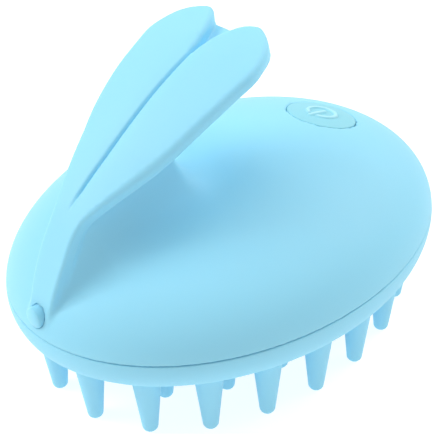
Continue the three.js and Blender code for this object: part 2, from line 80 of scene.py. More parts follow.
HALF_WIDTH = float(PAD_HIGH[0])
HALF_LENGTH = float(PAD_HIGH[1])
SEAM_HALF_GAP = 0.15
SEAM_LINE = 0.03
PARTING_Z = float(PAD_HIGH[2]) + SEAM_HALF_GAP
EQUATOR_Z = PARTING_Z - 1.4
DOME_RISE = 19.6
PAD_FACE_Z = EQUATOR_Z - 4.6
HALF_AXES = np.array([HALF_WIDTH, HALF_LENGTH, DOME_RISE])
PLUG_Z = float(PLUG_LOW[2] + PLUG_HIGH[2]) / 2
PLUG_FRONT = float(PLUG_LOW[1])
PLUG_RADIUS = float(PLUG_HIGH[0])

# The crown line of the face and ears, as (y, height above the widest section), and the half
# width of that strip, as (y, half width).
CROWN_LINE = [
    (-48.9, 2.2), (-47.6, 7.5), (-45.2, 13.6), (-41.4, 20.6), (-37.2, 25.6),
    (-28.4, 32.6), (-17.7, 39.9), (-7.1, 45.2), (0, 47.6), (4, 48.2),
]
STRIP_WIDTHS = [
    (-48.9, 2.8), (-47, 3.3), (-44, 3.7), (-40, 3.9), (-35.4, 6.2), (-29.7, 9.1), (-23.9, 11.5),
    (-16.8, 13.2), (-10.9, 14), (-7.1, 14.4), (-3.9, 13.8), (-0.8, 12.4), (1.4, 10.4),
    (2.9, 8.2), (3.4, 6.6), (2.7, 5.2),
]
NOTCH_APEX_Y = -7.4
NOTCH_EDGE = [(2.7, 5.2), (1.5, 4), (-0.6, 2.7), (-3.2, 1.5), (-5.6, 0.65), (-7.2, 0.2), (-8, 0)]
STEM_REAR = [(-15.2, 35), (-15.8, 30), (-15.9, 26.5), (-14.9, 22), (-13, 16), (-12, 12), (-44, 1)]
STEM_INSET = 2.4
STEM_ROUNDING = 1.2

# The ears sag by ARCH_DROP and thin by RIM_THINNING from the middle to the rim. Both come in
# as the strip widens past its waist, where it has only WAIST_SHARE of its thickness.
ARCH_DROP = 1.3
RIM_THINNING = 1.9
WAIST_HALF_WIDTH = 3.8
WAIST_SHARE = 0.6
SPREAD_WIDTH = 6
STRIP_BLEND = 1.1

# The groove between the ears and the soft dip round it, and the thin web in the notch.
GROOVE_START_Y = -38.9
GROOVE_FADE = 4.5
DIP_DEPTH = 0.25
DIP_WIDTH = 1.7
DIP_FADE = 12
WEB = {"half": 7, "drop": 1.9, "end_y": 1.7, "reach": 3, "edge": 0.6, "blend": 0.4}

# Roundings and cuts of the two soft pieces.
SKIN_LIP = 0.4
PAD_LIP = 0.25
PAD_EDGE = 0.6
PAD_WALL = 2.0
PAD_FLOOR = 2.2
INNER_EDGE = 0.2
FILLET_START_Y = -50
FILLET_FADE = 14
FILLET_LEAST = 0.08

# Rings of bristles as (half length, half width, count, phase), and the pitch of the middle row.
BRISTLE_RINGS = [(43.2, 31.8, 20, 0.5), (33.7, 22.3, 14, 0), (23.4, 12, 10, 0.5)]
MIDDLE_ROW_PITCH = 12
BRISTLE_END = 0.85
BRISTLE_ROOT = 1

# The nose plug's hole: a close fit in the skin, and room behind it for the socket's collar. The
# plug's side view behind its round front, as (radius, distance behind the front), has a bead
# that snaps into the socket.
PLUG_SEAT_Y = -46.9
PLUG_HOLE_END_Y = -43
PLUG_CLEARANCE = 0.05
COLLAR_ROOM = 3
COLLAR_EDGE = 0.1
PLUG_HOLE_EDGE = 0.12
PLUG_SHANK = [
    (1.8, 2.8), (1.6, 3.0), (1.6, 5.4), (1.78, 5.7), (1.78, 6.1), (1.6, 6.4), (1.6, 10.9),
    (1.2, 11.6), (0.6, 11.85),
]

# The button: its disc, the flange under the shell that holds it, and its raised sign, whose
# lines slope down over "slope" and whose colour fades over "fade".
BUTTON = {"radius": 7.7, "gap": 0.1, "well": 8, "low": -5.9, "edge": 0.3, "hole_edge": 0.35}
FLANGE = {"radius": 8.8, "out": -5.4, "half": 0.5}
SIGN = {
    "radius": 3.1, "half_line": 0.34, "half_gap": 1.0, "bar": (-4, 0.8), "height": 0.4,
    "slope": 0.25, "shoulder": 0.1, "fade": 0.2, "lowest": -2,
}

# Grid steps of the pieces that come from a field.
SKIN_STEP = 0.66
PAD_STEP = 0.6
BUTTON_STEP = 0.2


class MassagerSizes(bpy.types.PropertyGroup):
    """Sizes of the soft pieces that the CAD frame leaves plain, in metres."""

    skin_wall: bpy.props.FloatProperty(
        name="Skin wall", description="Thickness of the silicone skin over the dome",
        default=1.6 * MM, min=0.8 * MM, max=3 * MM, unit="LENGTH", precision=4)
    strip_wall: bpy.props.FloatProperty(
        name="Ear thickness", description="Thickness of the ear paddle",
        default=4.6 * MM, min=3 * MM, max=6 * MM, unit="LENGTH", precision=4)
    strip_edge: bpy.props.FloatProperty(
        name="Ear edge radius", description="Rounding of the ear paddle's rim",
        default=1.15 * MM, min=0.5 * MM, max=2.2 * MM, unit="LENGTH", precision=4)
    stem_fillet: bpy.props.FloatProperty(
        name="Stem fillet", description="Reach of the soft blend between stem and dome",
        default=9 * MM, min=1 * MM, max=14 * MM, unit="LENGTH", precision=4)
    stem_half: bpy.props.FloatProperty(
        name="Stem half width", description="Half the stem's width at its waist",
        default=3.0 * MM, min=2 * MM, max=6 * MM, unit="LENGTH", precision=4)
    groove_width: bpy.props.FloatProperty(
        name="Groove width", description="Width of the groove between the ears",
        default=0.6 * MM, min=0.3 * MM, max=2 * MM, unit="LENGTH", precision=4)
    groove_depth: bpy.props.FloatProperty(
        name="Groove depth", description="Depth of the groove between the ears",
        default=0.85 * MM, min=0.3 * MM, max=2 * MM, unit="LENGTH", precision=4)
    bristle_tip: bpy.props.FloatProperty(
        name="Bristle tip radius", description="Radius of a bristle near its end",
        default=1.5 * MM, min=0.8 * MM, max=3 * MM, unit="LENGTH", precision=4)
    bristle_base: bpy.props.FloatProperty(
        name="Bristle base radius", description="Radius of a bristle at the pad",
        default=3.2 * MM, min=1.5 * MM, max=5 * MM, unit="LENGTH", precision=4)
    bristle_fillet: bpy.props.FloatProperty(
        name="Bristle fillet", description="Reach of the blend at a bristle's root",
        default=0.7 * MM, min=0.2 * MM, max=4 * MM, unit="LENGTH", precision=4)


class MassagerColours(bpy.types.PropertyGroup):
    """Colours of the finishes, as hex values of sRGB."""

    silicone: bpy.props.StringProperty(
        name="Silicone", description="Light aqua of the skin and the pad", default="98DDF6")
    button: bpy.props.StringProperty(
        name="Button", description="Slightly greener aqua of the button", default="92D5E4")
    sign: bpy.props.StringProperty(
        name="Sign", description="Paler aqua of the button's raised sign", default="AEE4F1")
    shell: bpy.props.StringProperty(
        name="Shell", description="Off-white of the inner shells", default="E9EEF0")


# ---- distance fields ------------------------------------------------------------------------
# Each takes x, y and z in millimetres, as arrays that broadcast, and is negative inside.


def ellipsoid(x, y, z, inset):
    """First-order distance to an ellipsoid: k (k - 1) / m, where k is the length of the point
    over the half axes, and m its length over their squares."""
    a, b, c = HALF_AXES - inset
    dz = z - EQUATOR_Z
    k = np.sqrt((x / a) ** 2 + (y / b) ** 2 + (dz / c) ** 2)
    m = np.sqrt((x / a ** 2) ** 2 + (y / b ** 2) ** 2 + (dz / c ** 2) ** 2)
    return k * (k - 1) / np.maximum(m, 1e-9)


def smooth_min(a, b, reach):
    """The lower of two fields, with the crease rounded over the given reach."""
    share = np.clip(0.5 + 0.5 * (b - a) / reach, 0, 1)
    return b + (a - b) * share - reach * share * (1 - share)


def smooth_max(a, b, reach):
    """The higher of two fields, with the edge rounded over the given reach."""
    return -smooth_min(-a, -b, reach)


def spline(points, count):
    """A Catmull-Rom line through the points, as count points of even parameter."""
    p = np.array(points, float)
    p = np.vstack([2 * p[0] - p[1], p, 2 * p[-1] - p[-2]])
    t = np.linspace(0, len(points) - 1, count)
    i = np.minimum(t.astype(int), len(points) - 2)
    u = (t - i)[:, None]
    p0, p1, p2, p3 = p[i], p[i + 1], p[i + 2], p[i + 3]
    curve = 2 * p1 + (p2 - p0) * u + (2 * p0 - 5 * p1 + 4 * p2 - p3) * u ** 2
    return 0.5 * (curve + (3 * p1 - p0 - 3 * p2 + p3) * u ** 3)


def polygon_distance(u, v, outline):
    """Signed distance to a closed outline: the least distance to its edges, negative where
    the edges cross a ray from the point an odd number of times."""
    best = np.full(np.broadcast(u, v).shape, 1e9)
    inside = np.zeros(best.shape, bool)
    for (au, av), (bu, bv) in zip(outline, np.roll(outline, -1, axis=0)):
        du, dv = bu - au, bv - av
        share = np.clip(((u - au) * du + (v - av) * dv) / (du * du + dv * dv), 0, 1)
        best = np.minimum(best, (u - au - share * du) ** 2 + (v - av - share * dv) ** 2)
        if av != bv:
            crosses = (av > v) != (bv > v)
            inside ^= crosses & (u < au + (v - av) * du / dv)
    return np.where(inside, -1, 1) * np.sqrt(best)


class Table:
    """A field kept as values on an even two-way grid and read between them linearly."""

    def __init__(self, low, high, step, field):
        self.low, self.step = np.array(low, float), step
        u = np.arange(low[0], high[0] + step, step)
        v = np.arange(low[1], high[1] + step, step)
        self.values = field(u[:, None], v[None, :])

    def __call__(self, u, v):
        limit = np.array(self.values.shape) - 1.001
        s = np.clip((u - self.low[0]) / self.step, 0, limit[0])
        t = np.clip((v - self.low[1]) / self.step, 0, limit[1])
        i, j = s.astype(int), t.astype(int)
        s, t = s - i, t - j
        low = self.values[i, j] * (1 - s) + self.values[i + 1, j] * s
        high = self.values[i, j + 1] * (1 - s) + self.values[i + 1, j + 1] * s
        return low * (1 - t) + high * t


class CrownFrame:
    """Turns a point of the Y-Z plane into its distance along the crown line and its depth
    below it, by the nearest point of the line."""

    def __init__(self):
        line = spline(CROWN_LINE, 181)
        line[:, 1] += EQUATOR_Z
        step = np.diff(line, axis=0)
        length = np.hypot(step[:, 0], step[:, 1])
        self.line, self.run = line, np.concatenate([[0], np.cumsum(length)])
        self.tangent = np.gradient(line, self.run, axis=0)
        self.tangent /= np.linalg.norm(self.tangent, axis=1)[:, None]

    def at(self, y, z):
        best = np.full(np.broadcast(y, z).shape, 1e9)
        along = np.zeros(best.shape)
        depth = np.zeros(best.shape)
        for i in range(len(self.line)):
            dy, dz = y - self.line[i, 0], z - self.line[i, 1]
            far = dy * dy + dz * dz
            near = far < best
            ty, tz = self.tangent[i]
            best = np.where(near, far, best)
            along = np.where(near, self.run[i] + dy * ty + dz * tz, along)
            depth = np.where(near, dy * tz - dz * ty, depth)
        return along, depth

    def run_at(self, y):
        return np.interp(y, self.line[:, 0], self.run)


CROWN = CrownFrame()


def strip_outline():
    """The strip's outline in (x, run along the crown line): the half-width line, mirrored, with
    the notch between the two ear tips closing it."""
    half = spline(STRIP_WIDTHS, 120)
    right = np.stack([half[:, 1], CROWN.run_at(half[:, 0])], axis=1)
    past_end = half[:, 0] - CROWN.line[-1, 0]
    right[:, 1] += np.maximum(past_end, 0)
    edge = spline(NOTCH_EDGE, 40)[1:]
    edge = np.stack([edge[:, 1], CROWN.run_at(edge[:, 0])], axis=1)
    right = np.vstack([right, edge])
    return np.vstack([right, right[-2::-1] * (-1, 1)])


OUTLINE = Table((-18, -6), (18, 82), 0.15, lambda u, v: polygon_distance(u, v, strip_outline()))


def rounded_slab(plan, side, radius):
    """A plate where both fields are negative, with its rim rounded: the distance to the plate
    shrunk by the radius, less the radius."""
    u, v = plan + radius, side + radius
    outside = np.hypot(np.maximum(u, 0), np.maximum(v, 0))
    return outside + np.minimum(np.maximum(u, v), 0) - radius


RUN = Table((-60, 5), (12, 76), 0.2, lambda y, z: CROWN.at(y, z)[0])
DEPTH = Table((-60, 5), (12, 76), 0.2, lambda y, z: CROWN.at(y, z)[1])


def strip_field(x, y, z, sizes):
    """Face and ears: a plate that hangs a wall's thickness below the crown line, arched down
    and thinned towards its rim, with a groove down the middle and a thin web in the notch."""
    run, depth = RUN(y, z), DEPTH(y, z)
    widths = spline(STRIP_WIDTHS[:11], 80)
    width = np.interp(run, CROWN.run_at(widths[:, 0]), widths[:, 1])
    across = np.minimum((x / width) ** 2, 1.3)
    spread = np.clip((width - WAIST_HALF_WIDTH) / SPREAD_WIDTH, 0, 1)
    arch = ARCH_DROP * across * spread
    fullness = WAIST_SHARE + (1 - WAIST_SHARE) * spread
    edge = sizes.strip_edge * fullness
    start, end = CROWN.run_at(GROOVE_START_Y), CROWN.run_at(NOTCH_APEX_Y)
    fade = np.clip((run - start) / GROOVE_FADE, 0, 1)
    groove = sizes.groove_depth * np.exp(-(np.abs(x) / (0.5 * sizes.groove_width)) ** 1.5)
    dip = DIP_DEPTH * np.exp(-(x / DIP_WIDTH) ** 2) * np.clip((run - start) / DIP_FADE, 0, 1)
    level = depth - arch - (groove + dip) * fade * (run < end + WEB["reach"])
    under = depth - arch - sizes.strip_wall * fullness
    thinned = under + RIM_THINNING * across ** 2 * spread
    plate = rounded_slab(OUTLINE(x, run), np.maximum(-level, thinned), edge)
    web_along = np.maximum(end - WEB["reach"] - run, run - CROWN.run_at(WEB["end_y"]))
    web_plan = np.maximum(np.abs(x) - WEB["half"], web_along)
    web_side = np.maximum(sizes.strip_wall - WEB["drop"] + arch - depth, under)
    return smooth_min(plate, rounded_slab(web_plan, web_side, WEB["edge"]), WEB["blend"])


def stem_outline():
    """The stem's side view: the crown line set in by a skin, and a sloping rear edge."""
    front = CROWN.line[CROWN.line[:, 0] < -20]
    inward = CROWN.tangent[CROWN.line[:, 0] < -20] @ np.array([[0, -1], [1, 0]])
    front = front + STEM_INSET * inward
    rear = np.array(STEM_REAR, float)
    rear[:, 1] += EQUATOR_Z
    return np.vstack([front, rear])


STEM = Table((-60, 5), (10, 75), 0.15, lambda u, v: polygon_distance(u, v, stem_outline()))


def stem_field(x, y, z, sizes):
    """The web that carries the ears: the side view, as thick as the stem, rounded all round."""
    wide = np.abs(x) - sizes.stem_half
    return rounded_slab(STEM(y, z), wide, STEM_ROUNDING)


def button_frame():
    """The point where the button's axis leaves the dome, and the outward direction."""
    outward = -np.array(BUTTON_JOINT["axis"], float)
    outward /= np.linalg.norm(outward)
    start = sum(box_mm("switch_plunger")) / 2 - (0, 0, EQUATOR_Z)
    a = (outward ** 2 / HALF_AXES ** 2).sum()
    b = 2 * (start * outward / HALF_AXES ** 2).sum()
    c = (start ** 2 / HALF_AXES ** 2).sum() - 1
    reach = (-b + math.sqrt(b * b - 4 * a * c)) / (2 * a)
    return start + reach * outward + (0, 0, EQUATOR_Z), outward


BUTTON_POINT, BUTTON_OUT = button_frame()


def in_button_frame(x, y, z):
    """Distance across, along and out of the button's face."""
    dy, dz = y - BUTTON_POINT[1], z - BUTTON_POINT[2]
    ny, nz = BUTTON_OUT[1], BUTTON_OUT[2]
    return x, dy * nz - dz * ny, dy * ny + dz * nz


def skin_field(x, y, z, sizes):
    """The upper skin: dome, stem and ears in one soft solid, hollowed by an inner ellipsoid,
    cut at the parting plane, at the button and at the nose plug."""
    dome = ellipsoid(x, y, z, 0)
    fillet = sizes.stem_fillet * np.clip((y - FILLET_START_Y) / FILLET_FADE, FILLET_LEAST, 1)
    body = smooth_min(dome, stem_field(x, y, z, sizes), fillet)
    body = smooth_min(body, strip_field(x, y, z, sizes), STRIP_BLEND)
    body = smooth_max(body, -ellipsoid(x, y, z, sizes.skin_wall), INNER_EDGE)
    body = smooth_max(body, PARTING_Z + SEAM_LINE - z, SKIN_LIP)
    across, along, out = in_button_frame(x, y, z)
    hole = np.hypot(across, along) - BUTTON["radius"] - BUTTON["gap"]
    body = smooth_max(body, -np.maximum(hole, -BUTTON["well"] - out), BUTTON["hole_edge"])
    from_plug = np.hypot(x, z - PLUG_Z)
    before_end = y - PLUG_HOLE_END_Y
    room = np.maximum(from_plug - COLLAR_ROOM, np.maximum(before_end, PLUG_SEAT_Y - y))
    body = smooth_max(body, -room, COLLAR_EDGE)
    hole = np.maximum(from_plug - PLUG_RADIUS - PLUG_CLEARANCE, before_end)
    return smooth_max(body, -hole, PLUG_HOLE_EDGE)


def ring_places(length, width, count, phase):
    """Places at even steps of arc length round an ellipse, from the nose end."""
    angle = np.linspace(-math.pi / 2, 1.5 * math.pi, 4001)
    points = np.stack([width * np.cos(angle), length * np.sin(angle)], axis=1)
    run = np.concatenate([[0], np.cumsum(np.hypot(*np.diff(points, axis=0).T))])
    wanted = run[-1] * (np.arange(count) + phase) / count
    return np.stack([np.interp(wanted, run, points[:, i]) for i in range(2)], axis=1)


BRISTLES = np.vstack([
    *(ring_places(*ring) for ring in BRISTLE_RINGS),
    [[0, -MIDDLE_ROW_PITCH], [0, 0], [0, MIDDLE_ROW_PITCH]],
])


def pad_field(x, y, z, sizes):
    """The brush pad: a shallow tray under the parting plane, with a tapered round-ended
    bristle at each place, blended into its floor."""
    tray = smooth_max(ellipsoid(x, y, z, 0), PAD_FACE_Z - z, PAD_EDGE)
    tray = smooth_max(tray, z - PARTING_Z + SEAM_LINE, PAD_LIP)
    room = np.maximum(ellipsoid(x, y, z, PAD_WALL), PAD_FACE_Z + PAD_FLOOR - z)
    tray = smooth_max(tray, -room, INNER_EDGE)
    reach = np.full(np.broadcast(x, y).shape, 1e9)
    for place_x, place_y in BRISTLES:
        reach = np.minimum(reach, np.hypot(x - place_x, y - place_y))
    share = np.clip(z / PAD_FACE_Z, 0, 1)
    radius = sizes.bristle_tip + (sizes.bristle_base - sizes.bristle_tip) * share
    bristle = np.maximum(rounded_slab(reach - radius, -z, BRISTLE_END), z - PAD_FACE_Z - BRISTLE_ROOT)
    return smooth_min(tray, bristle, sizes.bristle_fillet)


def sign_distance(across, along):
    """Distance to the lines of the power sign: an open ring, and a bar through its gap."""
    ring = np.abs(np.hypot(across, along) - SIGN["radius"]) - SIGN["half_line"]
    ring = np.maximum(ring, np.where(along < 0, SIGN["half_gap"] - np.abs(across), -1))
    bar = np.hypot(across, along - np.clip(along, *SIGN["bar"])) - SIGN["half_line"]
    return np.minimum(ring, bar)


def button_field(x, y, z):
    """The button: a disc that ends level with the dome, on a flange below the shell, with a
    raised open ring and bar, the common power sign."""
    across, along, out = in_button_frame(x, y, z)
    radius = np.hypot(across, along)
    slope = np.clip((sign_distance(across, along) + SIGN["shoulder"]) / SIGN["slope"], 0, 1)
    raised = SIGN["height"] * (1 - slope ** 2)
    face = ellipsoid(x, y, z, 0) - raised
    disc = smooth_max(radius - BUTTON["radius"], face, BUTTON["edge"])
    disc = smooth_max(disc, BUTTON["low"] - out, INNER_EDGE)
    flange = np.maximum(radius - FLANGE["radius"], np.abs(out - FLANGE["out"]) - FLANGE["half"])
    return np.minimum(disc, flange)


def sign_share(x, y, z):
    """How much of a point lies on the raised sign of the button, from 0 to 1."""
    across, along, out = in_button_frame(x, y, z)
    share = np.clip(1 - sign_distance(across, along) / SIGN["fade"], 0, 1)
    return share * (out > SIGN["lowest"])


# ---- surfaces -------------------------------------------------------------------------------


def axis_points(low, high, step, fine_half=0, fine_step=0.2, centre=0):
    """Grid lines from low to high: fine near the centre and even beyond it."""
    near = centre + np.arange(fine_step / 2 - fine_half, fine_half, fine_step)
    near = near[(near > low) & (near < high)]
    if not len(near):
        return np.linspace(low, high, math.ceil((high - low) / step) + 1)
    below = np.linspace(low, near[0], math.ceil((near[0] - low) / step) + 1)
    above = np.linspace(near[-1], high, math.ceil((high - near[-1]) / step) + 1)
    return np.concatenate([below[:-1], near, above[1:]])


def surface_net(values, axes):
    """Puts one point in each grid cell that the zero surface passes through, at the mean of
    the crossings on its edges, and joins the four cells round each crossed edge."""
    shape = np.array(values.shape) - 1
    total = np.zeros((*shape, 3))
    count = np.zeros(shape)
    crossed = []
    for d in range(3):
        e, f = [k for k in range(3) if k != d]
        first = np.take(values, range(values.shape[d] - 1), axis=d)
        second = np.take(values, range(1, values.shape[d]), axis=d)
        index = np.argwhere((first < 0) != (second < 0))
        a, b = first[tuple(index.T)], second[tuple(index.T)]
        point = np.stack([axes[k][index[:, k]] for k in range(3)], axis=1)
        point[:, d] += (axes[d][index[:, d] + 1] - point[:, d]) * a / (a - b)
        ring = []
        for be, bf in ((1, 1), (0, 1), (0, 0), (1, 0)):
            cell = index.copy()
            cell[:, e] -= be
            cell[:, f] -= bf
            np.add.at(total, tuple(cell.T), point)
            np.add.at(count, tuple(cell.T), 1)
            ring.append(np.ravel_multi_index(tuple(cell.T), tuple(shape)))
        ring = np.stack(ring, axis=1)
        flip = (a < 0) if d == 1 else (a > 0)
        ring[flip] = ring[flip][:, ::-1]
        crossed.append(ring)
    used = np.flatnonzero(count.ravel())
    number = np.full(count.size, -1)
    number[used] = np.arange(len(used))
    points = total.reshape(-1, 3)[used] / count.ravel()[used][:, None]
    return points, number[np.vstack(crossed)]


def gradient(field, p, reach=0.15):
    """Slope of a field at points, by central differences."""
    parts = []
    for d in range(3):
        step = np.zeros(3)
        step[d] = reach
        ahead, behind = p + step, p - step
        parts.append((field(*ahead.T) - field(*behind.T)) / (2 * reach))
    return np.stack(parts, axis=1)


def settle(field, points, rounds=4, most=0.3):
    """Moves points along the slope until the field is zero there."""
    for _ in range(rounds):
        slope = gradient(field, points)
        size = np.maximum((slope ** 2).sum(axis=1), 0.05)
        move = -(field(*points.T) / size)[:, None] * slope
        length = np.linalg.norm(move, axis=1)[:, None]
        points = points + move * np.minimum(1, most / np.maximum(length, 1e-9))
    return points


def even_out(points, quads, amount=0.5):
    """Moves each point part of the way to the mean of its neighbours."""
    ends = np.vstack([quads[:, [i, (i + 1) % 4]] for i in range(4)])
    total = np.zeros_like(points)
    for d in range(3):
        total[:, d] = np.bincount(ends[:, 0], points[ends[:, 1], d], len(points))
        total[:, d] += np.bincount(ends[:, 1], points[ends[:, 0], d], len(points))
    count = np.bincount(ends.ravel(), minlength=len(points))
    return points + amount * (total / count[:, None] - points)


def implicit_piece(name, field, axes, material, smoothing=2):
    """A closed mesh of the zero surface of a field, with normals from the field's slope."""
    x, y, z = axes
    values = field(x[:, None, None], y[None, :, None], z[None, None, :])
    points, quads = surface_net(values, axes)
    points = settle(field, points)
    for _ in range(smoothing):
        points = settle(field, even_out(points, quads), rounds=2)
    normals = gradient(field, points, reach=0.1)
    normals /= np.maximum(np.linalg.norm(normals, axis=1), 1e-9)[:, None]
    return new_piece(name, points, quads.tolist(), material, normals)


def new_piece(name, points, faces, material, normals=None):
    """A smooth-shaded object at the origin from points in millimetres and a list of faces."""
    mesh = bpy.data.meshes.new(name)
    mesh.from_pydata((points * MM).tolist(), [], faces)
    mesh.polygons.foreach_set("use_smooth", np.ones(len(mesh.polygons), bool))
    mesh.materials.append(material)
    mesh.validate()
    if normals is not None:
        mesh.normals_split_custom_set_from_vertices(normals.tolist())
    mesh.update()
    piece = bpy.data.objects.new(name, mesh)
    bpy.context.scene.collection.objects.link(piece)
    return piece


def revolved_piece(name, profile, origin, material, turns=64):
    """A closed surface of revolution round an axis along +Y: each profile point is a radius
    and a distance behind the front, carried round the axis through the origin."""
    radius, behind = np.array(profile, float)[1:-1].T
    angle = np.linspace(0, 2 * math.pi, turns, endpoint=False)
    ring = np.stack([
        radius[:, None] * np.sin(angle), behind[:, None] + 0 * angle,
        radius[:, None] * np.cos(angle),
    ], axis=2).reshape(-1, 3)
    poles = np.array([[0, profile[0][1], 0], [0, profile[-1][1], 0]])
    i, j = np.meshgrid(np.arange(len(radius) - 1) * turns, np.arange(turns), indexing="ij")
    k = (j + 1) % turns
    sides = np.stack([i + j, i + k, i + turns + k, i + turns + j], axis=2).reshape(-1, 4)
    j, k = j[0], k[0]
    last = (len(radius) - 1) * turns
    front = np.stack([np.full(turns, len(ring)), k, j], axis=1)
    back = np.stack([np.full(turns, len(ring) + 1), last + j, last + k], axis=1)
    faces = sides.tolist() + front.tolist() + back.tolist()
    return new_piece(name, np.vstack([ring, poles]) + origin, faces, material)


# ---- materials ------------------------------------------------------------------------------


def linear(hex_value):
    """An sRGB hex colour as linear red, green, blue and full alpha."""
    parts = [int(hex_value[i:i + 2], 16) / 255 for i in (0, 2, 4)]
    return [c / 12.92 if c <= 0.04045 else ((c + 0.055) / 1.055) ** 2.4 for c in parts] + [1.0]


def add_node(tree, kind, settings=None, links=None, **values):
    """Adds a node, sets its properties and unlinked sockets, and links sockets of others."""
    node = tree.nodes.new(kind)
    for key, value in (settings or {}).items():
        setattr(node, key, value)
    for key, value in values.items():
        node.inputs[key.replace("_", " ")].default_value = value
    for key, source in (links or {}).items():
        tree.links.new(source, node.inputs[key])
    return node


def new_material(name):
    """An empty node material, and the object's own coordinates in it."""
    material = bpy.data.materials.new(name)
    material.use_nodes = True
    tree = material.node_tree
    tree.nodes.clear()
    return material, tree, add_node(tree, "ShaderNodeTexCoord").outputs["Object"]


def grained(name, colour, darkest, cloud, grain, roughness, bump, stretch=None, sign=None, **values):
    """A finish with a clouded colour and a fine grain. The cloud runs from the colour's darkest
    share up to the colour. The grain sets the roughness, between its two ends, and the bump.
    Cloud and grain are each a size in metres and a level of detail, and a finish without a
    cloud takes its colour from the grain too. The bump is a strength and a height in metres.
    Other values go to the shader's own sockets."""
    material, tree, place = new_material(name)
    if stretch:
        turned = add_node(tree, "ShaderNodeMapping", links={"Vector": place}, Scale=stretch)
        place = turned.outputs["Vector"]
    fine = add_node(tree, "ShaderNodeTexNoise", links={"Vector": place}, Scale=1 / grain[0],
                    Detail=grain[1])
    broad = fine
    if cloud:
        broad = add_node(tree, "ShaderNodeTexNoise", links={"Vector": place}, Scale=1 / cloud[0],
                         Detail=cloud[1])
    tint = add_node(tree, "ShaderNodeMix", {"data_type": "RGBA"}, {"Factor": broad.outputs["Fac"]})
    tint.inputs[6].default_value = [c * darkest for c in linear(colour)[:3]] + [1.0]
    tint.inputs[7].default_value = linear(colour)
    if sign:
        share = add_node(tree, "ShaderNodeAttribute", {"attribute_name": "sign"})
        tint = add_node(tree, "ShaderNodeMix", {"data_type": "RGBA"},
                        {"Factor": share.outputs["Fac"], 6: tint.outputs[2]})
        tint.inputs[7].default_value = linear(sign)
    rough = add_node(tree, "ShaderNodeMapRange", links={"Value": fine.outputs["Fac"]},
                     To_Min=roughness[0], To_Max=roughness[1])
    relief = add_node(tree, "ShaderNodeBump", links={"Height": fine.outputs["Fac"]},
                      Strength=bump[0], Distance=bump[1])
    shader = add_node(tree, "ShaderNodeBsdfPrincipled", links={
        "Base Color": tint.outputs[2], "Roughness": rough.outputs["Result"],
        "Normal": relief.outputs["Normal"],
    }, **values)
    add_node(tree, "ShaderNodeOutputMaterial", links={"Surface": shader.outputs["BSDF"]})
    return material


def moulded_silicone(name, colour, sign=None):
    """Liquid silicone rubber moulded in a spark-eroded tool: a soft matte surface with a fine
    grain, faint clouding of the pigment, and a little light carried under the surface. The
    real grain, about 0.05 mm, is too fine to show and is drawn at 0.35 mm."""
    return grained(name, colour, darkest=0.965, cloud=(20 * MM, 2.0), grain=(0.35 * MM, 3.0),
                   roughness=(0.5, 0.62), bump=(0.12, 0.04 * MM), sign=sign, IOR=1.41,
                   Subsurface_Weight=0.25, Subsurface_Scale=2 * MM,
                   Subsurface_Radius=(0.6, 0.9, 1.0))


def moulded_plastic(name, colour, roughness=0.42, grain=0.5):
    """A polymer with a faint grain, its size in millimetres: even colour and a soft gloss. The
    grain is drawn coarser than it is, so that it shows."""
    return grained(name, colour, darkest=0.94, cloud=(15 * MM, 1.0), grain=(grain * MM, 2.0),
                   roughness=(roughness - 0.05, roughness + 0.07), bump=(0.1, 0.03 * MM), IOR=1.5)


def plated_metal(name, colour, roughness=0.3, stretch=(1, 1, 12)):
    """Drawn or turned metal with a thin plating: fine lines about 1 mm apart that run one way,
    and dull spots along them."""
    return grained(name, colour, darkest=0.88, cloud=None, grain=(1.2 * MM, 3.0),
                   roughness=(roughness - 0.08, roughness + 0.12), bump=(0.15, 0.02 * MM),
                   stretch=stretch, Metallic=1.0)


def lit_acrylic():
    """White acrylic lit evenly from below, as on a light table: pale, matt and shadowless."""
    material, tree, place = new_material("Lit Acrylic")
    cloud = add_node(tree, "ShaderNodeTexNoise", links={"Vector": place}, Scale=3.0)
    rough = add_node(tree, "ShaderNodeMapRange", links={"Value": cloud.outputs["Fac"]},
                     To_Min=0.7, To_Max=0.8)
    shader = add_node(tree, "ShaderNodeBsdfPrincipled", links={"Roughness": rough.outputs["Result"]},
                      Base_Color=linear("AAAAAA"), Emission_Color=linear("FFFFFF"),
                      Emission_Strength=0.8)
    add_node(tree, "ShaderNodeOutputMaterial", links={"Surface": shader.outputs["BSDF"]})
    return material


# ---- stage values ---------------------------------------------------------------------------

FLOOR_HALF = 4.0
FLOOR_CORNERS = np.array([(-1, -1, 0), (1, -1, 0), (1, 1, 0), (-1, 1, 0)]) * FLOOR_HALF / MM
WORLD_STRENGTH = 0.45

# Soft square lamps as (name, place, power, size), in metres and watts, all aimed at one point.
LAMP_AIM = (0, 0, 0.03)
LIGHTS = [
    ("key", (-0.5, -0.5, 0.6), 4.2, 0.4),
    ("top", (-0.1, -0.05, 0.9), 1.6, 0.5),
    ("back", (0.15, 0.65, 0.65), 4.2, 0.6),
]

# The camera's angles are in degrees, and its distance and target in millimetres. Its focal
# length is on the scale where the view is VIEW_WIDTH across.
VIEW_WIDTH = 441
SENSOR_WIDTH = 36
CAMERA = {
    "azimuth": 47.5, "elevation": 35.6, "distance": 225, "focal": 1056,
    "target": (-2.1, 0, EQUATOR_Z + 1.6), "roll": -1.73,
}

# ---- operators ------------------------------------------------------------------------------


def palette():
    """The colours of the sidebar."""
    return bpy.context.scene.massager_colours


def measures():
    """The sizes of the sidebar, turned to millimetres."""
    group = bpy.context.scene.massager_sizes
    return SimpleNamespace(**{key: getattr(group, key) / MM for key in MassagerSizes.__annotations__})


